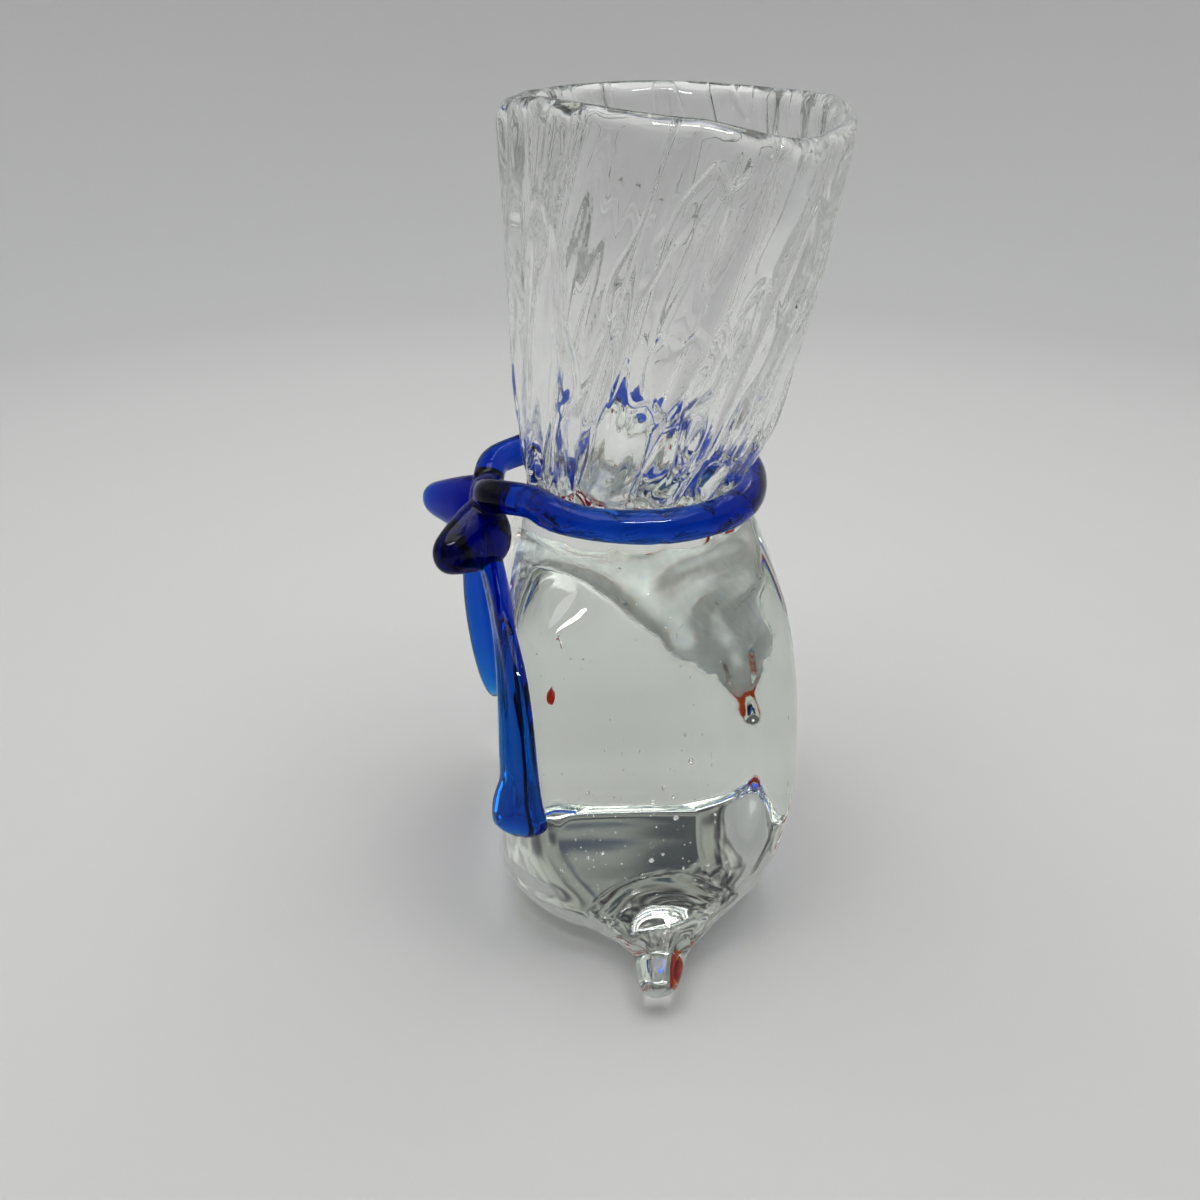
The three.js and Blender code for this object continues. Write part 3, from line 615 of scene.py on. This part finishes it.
# ------------------------------------------------------------------ the fish
def fish_paint(name, fin=False):
    m, t, p, out = nodes_of(name)
    c = t.nodes.new("ShaderNodeTexCoord")
    sep = t.nodes.new("ShaderNodeSeparateXYZ")
    t.links.new(c.outputs["Object"], sep.inputs["Vector"])
    h = t.nodes.new("ShaderNodeMapRange")
    h.inputs["From Min"].default_value = 0.028
    h.inputs["From Max"].default_value = 0.052
    t.links.new(sep.outputs["Z"], h.inputs["Value"])
    blotch = noise_tex(t, c.outputs["Object"], 140, 3.0)
    mix = t.nodes.new("ShaderNodeMath")
    mix.operation = "MULTIPLY_ADD"
    mix.inputs[1].default_value = 0.35
    t.links.new(blotch, mix.inputs[0])
    t.links.new(h.outputs["Result"], mix.inputs[2])
    col = ramp(t, mix.outputs[0], [(0.1, (0.85, 0.30, 0.10)), (0.4, (0.74, 0.075, 0.03)), (0.75, (0.56, 0.022, 0.02)), (1.0, (0.38, 0.008, 0.01))])
    t.links.new(col, p.inputs["Base Color"])
    p.inputs["Roughness"].default_value = 0.45
    p.inputs["Specular IOR Level"].default_value = 0.1
    t.links.new(bump(t, noise_tex(t, c.outputs["Object"], 700, 1.0), 0.6, 0.0003), p.inputs["Normal"])
    return m


def plain(name, colour):
    m, t, p, out = nodes_of(name)
    c = t.nodes.new("ShaderNodeTexCoord")
    col = ramp(t, noise_tex(t, c.outputs["Object"], 500, 2.0), [(0.3, tuple(v * 0.85 for v in colour)), (0.7, colour)])
    t.links.new(col, p.inputs["Base Color"])
    p.inputs["Roughness"].default_value = 0.4
    p.inputs["Specular IOR Level"].default_value = 0.1
    return m


fish_red, fin_red = fish_paint("fish_red_glass"), fish_paint("fish_fin_glass", True)
eye_white, pupil_black = plain("white_glass", (0.86, 0.83, 0.74)), plain("black_glass", (0.012, 0.012, 0.014))
FISH_Y = -24.5
FISH = [
    [-27.8, 38.6, 0.5, 0.4],
    [-27.5, 38.6, 1.4, 0.8],
    [-26.4, 38.7, 3.2, 1.4],
    [-23.6, 39.0, 5.9, 2.3],
    [-19.5, 39.4, 8.9, 3.05],
    [-14.0, 39.6, 11.4, 3.5],
    [-8.0, 39.6, 12.2, 3.6],
    [-2.0, 39.5, 11.0, 3.3],
    [4.0, 39.7, 8.4, 2.6],
    [9.0, 39.9, 5.6, 2.0],
    [13.2, 40.2, 3.6, 1.4],
]
FINS = {
    "fish_tail_fin": [[10.6, 41.8], [16.0, 45.6], [22.0, 50.6], [29.0, 53.2], [28.6, 47.8], [25.0, 42.6], [23.6, 40.0], [25.6, 37.0], [29.6, 31.4], [29.4, 26.6], [22.4, 29.8], [16.0, 34.8], [10.6, 38.4]],
    "fish_dorsal_fin": [[-15.0, 49.0], [-13.0, 55.4], [-9.4, 58.4], [-4.0, 56.4], [1.6, 52.8], [6.0, 48.4], [4.0, 46.0], [-4.0, 48.6]],
    "fish_pelvic_fin": [[-12.6, 29.6], [-12.4, 24.6], [-10.4, 20.6], [-6.8, 21.6], [-5.0, 26.0], [-5.4, 30.0]],
    "fish_anal_fin": [[1.4, 32.4], [3.2, 28.0], [6.8, 24.6], [9.2, 27.0], [9.0, 31.4], [6.6, 34.8]],
}
FIN_ROOT = {"fish_tail_fin": (10.0, 40.1), "fish_dorsal_fin": (-4.0, 44.0), "fish_pelvic_fin": (-8.0, 33.0), "fish_anal_fin": (3.0, 36.0)}
pieces = []


def done(o, slot, *nodes):
    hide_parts(*nodes)
    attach(o, "root")
    pieces.append(o)


q = np.linspace(0, 2 * math.pi, 56, endpoint=False)
out = []
for x, z, h, w in catmull(FISH, 70):
    cheek = 1 + 0.05 * math.exp(-(((x + 15.6) / 1.1) ** 2))  # the gill cover's edge
    mouth = 1 - 0.35 * np.exp(-((np.sin(q) / 0.16) ** 2)) * math.exp(-(((x + 27.6) / 1.2) ** 2))
    out.append(np.stack([np.full_like(q, x), FISH_Y + w * cheek * mouth * np.cos(q), z + h * np.sin(q)], 1))
done(skin(out, "fish_body_paint", fish_red), "fish_red_glass", "fish_body")


def fin(name, outline):
    """A drawn fin: thickest in the middle, thin at the hem, with rays from its root."""
    loop = catmull(outline + outline[:1], 97)[:-1]
    mid = np.array([18.0, 40.0]) if name == "fish_tail_fin" else np.array(outline).mean(axis=0)
    rx, rz = FIN_ROOT[name]
    verts, faces, n = [], [], len(loop)
    shares = [0.0, 0.25, 0.5, 0.75, 0.9, 0.97, 1.0]
    for side in (-1, 1):
        for s in shares[1:]:
            pts = mid + (loop - mid) * s
            ray = np.sin(np.arctan2(pts[:, 1] - rz, pts[:, 0] - rx) * 34)
            thick = 1.1 * math.sqrt(max(1 - (s * 0.985) ** 4, 0.02)) * (0.86 + 0.12 * ray)
            verts += [(x, FISH_Y + side * t, z) for (x, z), t in zip(pts, thick)]
        verts.append((mid[0], FISH_Y + side * 1.05, mid[1]))
        base = (0 if side < 0 else len(verts) // 2)
        c = base + n * (len(shares) - 1)
        for i in range(n):
            j = (i + 1) % n
            faces.append((c, base + i, base + j))
            for k in range(len(shares) - 2):
                faces.append((base + k * n + i, base + (k + 1) * n + i, base + (k + 1) * n + j, base + k * n + j))
    half, top = len(verts) // 2, n * (len(shares) - 2)
    for i in range(n):
        j = (i + 1) % n
        faces.append((top + i, half + top + i, half + top + j, top + j))
    return mesh_object(name + "_paint", verts, faces, fin_red)


for name, outline in FINS.items():
    done(fin(name, outline), "fish_fin_glass", name)


def oval(c, r, name, material, turn=None, ridged=False):
    out = []
    for v in np.radians(np.linspace(-88, 88, 26)):
        a = np.linspace(0, 2 * math.pi, 36, endpoint=False)
        e = np.stack([r[0] * np.cos(v) * np.cos(a), r[1] * np.cos(v) * np.sin(a), np.full_like(a, r[2] * np.sin(v))], 1)
        if ridged:
            e[:, 1] *= 0.88 + 0.12 * np.cos(np.arctan2(e[:, 2], e[:, 0] + r[0] * 1.4) * 30)
        if turn is not None:
            e = e @ np.array(turn).T
        out.append(np.array(c) + e)
    return skin(out, name, material)


for side, sign in (("front", -1), ("back", 1)):
    turn = Matrix.Rotation(math.radians(18), 3, "Y") @ Matrix.Rotation(math.radians(sign * 14), 3, "Z")
    done(oval((-8.2, FISH_Y + sign * 3.7, 35.4), (4.6, 1.05, 3.0), "fish_side_fin_%s_paint" % side, fin_red, turn, True), "fish_fin_glass", "fish_side_fin_" + side)
    done(oval((-20.2, FISH_Y + sign * 2.6, 41.6), (1.9, 1.9, 1.9), "fish_eye_%s_paint" % side, eye_white), "white_glass", "fish_eye_" + side)
    done(oval((-20.4, FISH_Y + sign * 4.0, 41.7), (1.05, 1.05, 1.05), "fish_pupil_%s_paint" % side, pupil_black), "black_glass", "fish_pupil_" + side)

# ------------------------------------------------------------------ stage
def stage_mesh(profile, name, material, turns=96):
    rings = []
    q = np.linspace(0, 2 * math.pi, turns, endpoint=False)
    for r, z in profile:
        rings.append(np.stack([r * np.cos(q), r * np.sin(q), np.full_like(q, z)], 1))
    m = turns
    verts = np.vstack(rings + [np.array([[0, 0, profile[0][1]]])])
    faces = [(len(verts) - 1, i, (i + 1) % m) for i in range(m)]
    for k in range(len(rings) - 1):
        for i in range(m):
            j = (i + 1) % m
            faces.append((k * m + i, (k + 1) * m + i, (k + 1) * m + j, k * m + j))
    me = bpy.data.meshes.new(name)
    me.from_pydata([tuple(v * MM) for v in verts], [], faces)
    me.polygons.foreach_set("use_smooth", [True] * len(me.polygons))
    me.materials.append(material)
    o = bpy.data.objects.new(name, me)
    scene.collection.objects.link(o)
    return o


paper, t, p, out = nodes_of("backdrop_paper")
c = t.nodes.new("ShaderNodeTexCoord")
far = t.nodes.new("ShaderNodeVectorMath")
far.operation = "LENGTH"
t.links.new(c.outputs["Object"], far.inputs[0])
# painted shade: the paper is darker the farther it lies from the bag, a painted fall-off of the light; the noise added
# on top is random mottling of the paper
painted_falloff = t.nodes.new("ShaderNodeMapRange")
painted_falloff.inputs["From Min"].default_value = 0.25
painted_falloff.inputs["From Max"].default_value = 0.95
t.links.new(far.outputs["Value"], painted_falloff.inputs["Value"])
grain = t.nodes.new("ShaderNodeMath")
grain.operation = "MULTIPLY_ADD"
grain.inputs[1].default_value = 0.05
t.links.new(noise_tex(t, c.outputs["Object"], 9, 4.0), grain.inputs[0])
t.links.new(painted_falloff.outputs["Result"], grain.inputs[2])
tone = ramp(t, grain.outputs[0], [(0.0, (0.61, 0.61, 0.605)), (0.25, (0.605, 0.605, 0.605)), (0.6, (0.57, 0.57, 0.575)), (1.0, (0.52, 0.52, 0.522))])
# painted shade: the paper is darkened towards the camera's side (+X), down to 0.4 of its tone
sep = t.nodes.new("ShaderNodeSeparateXYZ")
t.links.new(c.outputs["Object"], sep.inputs["Vector"])
painted_camera_side_shade = t.nodes.new("ShaderNodeMapRange")
painted_camera_side_shade.interpolation_type = "SMOOTHSTEP"
painted_camera_side_shade.inputs["From Min"].default_value = 0.12
painted_camera_side_shade.inputs["From Max"].default_value = 0.36
painted_camera_side_shade.inputs["To Min"].default_value = 1.0
painted_camera_side_shade.inputs["To Max"].default_value = 0.4
t.links.new(sep.outputs["X"], painted_camera_side_shade.inputs["Value"])
scaled = t.nodes.new("ShaderNodeVectorMath")
scaled.operation = "SCALE"
t.links.new(tone, scaled.inputs[0])
t.links.new(painted_camera_side_shade.outputs["Result"], scaled.inputs["Scale"])
painted_light_pool = t.nodes.new("ShaderNodeMapRange")  # painted light: the paper under the bag is made paler, a painted pool of the light that passes down through the glass
painted_light_pool.interpolation_type = "SMOOTHSTEP"
painted_light_pool.inputs["From Min"].default_value = 0.022
painted_light_pool.inputs["From Max"].default_value = 0.034
painted_light_pool.inputs["To Min"].default_value = 1.55
painted_light_pool.inputs["To Max"].default_value = 1.0
t.links.new(far.outputs["Value"], painted_light_pool.inputs["Value"])
lit = t.nodes.new("ShaderNodeVectorMath")
lit.operation = "SCALE"
t.links.new(scaled.outputs["Vector"], lit.inputs[0])
t.links.new(painted_light_pool.outputs["Result"], lit.inputs["Scale"])
t.links.new(lit.outputs["Vector"], p.inputs["Base Color"])
p.inputs["Roughness"].default_value = 0.75
p.inputs["Specular IOR Level"].default_value = 0.15
profile = [(r, -0.3) for r in (60, 140, 260, 400, 560)]
profile += [(560 + 320 * math.sin(q), -0.3 + 320 * (1 - math.cos(q))) for q in np.radians(np.linspace(4, 90, 24))]
profile += [(880, z) for z in (355, 390, 425, 460)]
stage_mesh(profile, "backdrop", paper)

world = bpy.data.worlds.new("studio")
scene.world = world
world.use_nodes = True
bg = world.node_tree.nodes["Background"]
t = world.node_tree
c = t.nodes.new("ShaderNodeTexCoord")
mp = t.nodes.new("ShaderNodeMapping")
mp.inputs["Scale"].default_value = (9.0, 9.0, 16.0)
mp.inputs["Location"].default_value = (2.3, 4.1, 7.7)
t.links.new(c.outputs["Generated"], mp.inputs["Vector"])
room = ramp(t, noise_tex(t, mp.outputs["Vector"], 1.0, 1.0), [(0.38, (0.06, 0.061, 0.068)), (0.5, (0.2, 0.205, 0.2)), (0.62, (0.4, 0.41, 0.38))])
cut = t.nodes.new("ShaderNodeSeparateXYZ")
t.links.new(c.outputs["Generated"], cut.inputs["Vector"])
back = t.nodes.new("ShaderNodeMath")
back.operation = "MULTIPLY"
back.inputs[1].default_value = -1.0
t.links.new(cut.outputs["X"], back.inputs[0])
plane = t.nodes.new("ShaderNodeCombineXYZ")  # the far wall as a plane: Y and Z over -X
for axis in ("Y", "Z"):
    over = t.nodes.new("ShaderNodeMath")
    over.operation = "DIVIDE"
    t.links.new(cut.outputs[axis], over.inputs[0])
    t.links.new(back.outputs[0], over.inputs[1])
    t.links.new(over.outputs[0], plane.inputs["X" if axis == "Y" else "Y"])
# a pale wall and the soft dark shapes on it, which the base mirrors: middle, half size, strength, colour
for at, half, share, colour in [
    ((0.10, 0.83), (0.30, 0.20), 1.0, (0.36, 0.375, 0.35)),
    ((0.066, 0.806), (0.07, 0.038), 0.9, (0.07, 0.09, 0.135)),
    ((0.168, 0.850), (0.082, 0.060), 0.92, (0.065, 0.075, 0.09)),
    ((0.092, 0.876), (0.050, 0.026), 0.92, (0.06, 0.07, 0.084)),
]:
    place = t.nodes.new("ShaderNodeMapping")
    place.vector_type = "TEXTURE"
    place.inputs["Location"].default_value = (*at, 0)
    place.inputs["Scale"].default_value = (*half, 1)
    t.links.new(plane.outputs["Vector"], place.inputs["Vector"])
    off = t.nodes.new("ShaderNodeVectorMath")
    off.operation = "LENGTH"
    t.links.new(place.outputs["Vector"], off.inputs[0])
    soft = t.nodes.new("ShaderNodeMapRange")
    soft.interpolation_type = "SMOOTHSTEP"
    soft.inputs["From Min"].default_value = 0.45
    soft.inputs["From Max"].default_value = 1.0
    soft.inputs["To Min"].default_value = share
    soft.inputs["To Max"].default_value = 0.0
    t.links.new(off.outputs["Value"], soft.inputs["Value"])
    mix = t.nodes.new("ShaderNodeMixRGB")
    t.links.new(soft.outputs["Result"], mix.inputs["Fac"])
    t.links.new(room, mix.inputs["Color1"])
    mix.inputs["Color2"].default_value = (*colour, 1)
    room = mix.outputs["Color"]
t.links.new(room, bg.inputs["Color"])
bg.inputs["Strength"].default_value = 1.0
sides = t.nodes.new("ShaderNodeBackground")  # pale walls to the left and right of the view
sep = t.nodes.new("ShaderNodeSeparateXYZ")
t.links.new(c.outputs["Generated"], sep.inputs["Vector"])
wide = t.nodes.new("ShaderNodeMath")
wide.operation = "ABSOLUTE"
t.links.new(sep.outputs["Y"], wide.inputs[0])
t.links.new(ramp(t, wide.outputs[0], [(0.22, (0, 0, 0)), (0.6, (0.42, 0.42, 0.415))]), sides.inputs["Color"])
both = t.nodes.new("ShaderNodeAddShader")
t.links.new(bg.outputs[0], both.inputs[0])
t.links.new(sides.outputs[0], both.inputs[1])
t.links.new(both.outputs[0], t.nodes["World Output"].inputs["Surface"])


def area(name, at, aim, size, power, colour=(1, 1, 1)):
    d = bpy.data.lights.new(name, "AREA")
    d.shape = "RECTANGLE"
    d.size, d.size_y = size
    d.energy = power
    d.color = colour
    o = bpy.data.objects.new(name, d)
    o.location = at
    o.rotation_euler = (Vector(aim) - Vector(at)).to_track_quat("-Z", "Y").to_euler()
    scene.collection.objects.link(o)
    return o


area("top_box", (-0.06, 0.0, 0.95), (-0.06, 0, 0), (1.0, 1.0), 8.8)
strip = area("strip_lamp", (0.30, 0.04, 0.47), (0, 0, 0.1), (0.325, 0.03), 1.2)  # seen as a fine line along the rim and the cord
strip.visible_diffuse = False
strip.visible_transmission = False

# ------------------------------------------------------------------ camera
az, pitch = math.radians(86.0), math.radians(26.4)
F = Vector((-math.sin(az), math.cos(az), 0))
R = Vector((math.cos(az), math.sin(az), 0))
Z = Vector((0, 0, 1))
look = F * math.cos(pitch) - Z * math.sin(pitch)
up = F * math.sin(pitch) + Z * math.cos(pitch)
cam = bpy.data.cameras.new("camera")
cam.lens, cam.sensor_width, cam.sensor_fit = 36.0, 36.0, "HORIZONTAL"
cam.clip_start = 0.01
co = bpy.data.objects.new("camera", cam)
m = Matrix((R, up, -look)).transposed().to_4x4()
m.translation = (F * -247 + R * -8.7 + Z * 183) * MM
co.matrix_world = m
scene.collection.objects.link(co)
scene.camera = co

scene.view_settings.view_transform = "Standard"
scene.view_settings.gamma = 0.8
scene.cycles.max_bounces = 24
scene.cycles.transmission_bounces = 24
scene.cycles.glossy_bounces = 12
scene.cycles.diffuse_bounces = 4
scene.cycles.transparent_max_bounces = 16
scene.cycles.caustics_refractive = True
scene.cycles.caustics_reflective = True
scene.cycles.blur_glossy = 0.3
scene.cycles.use_denoising = True
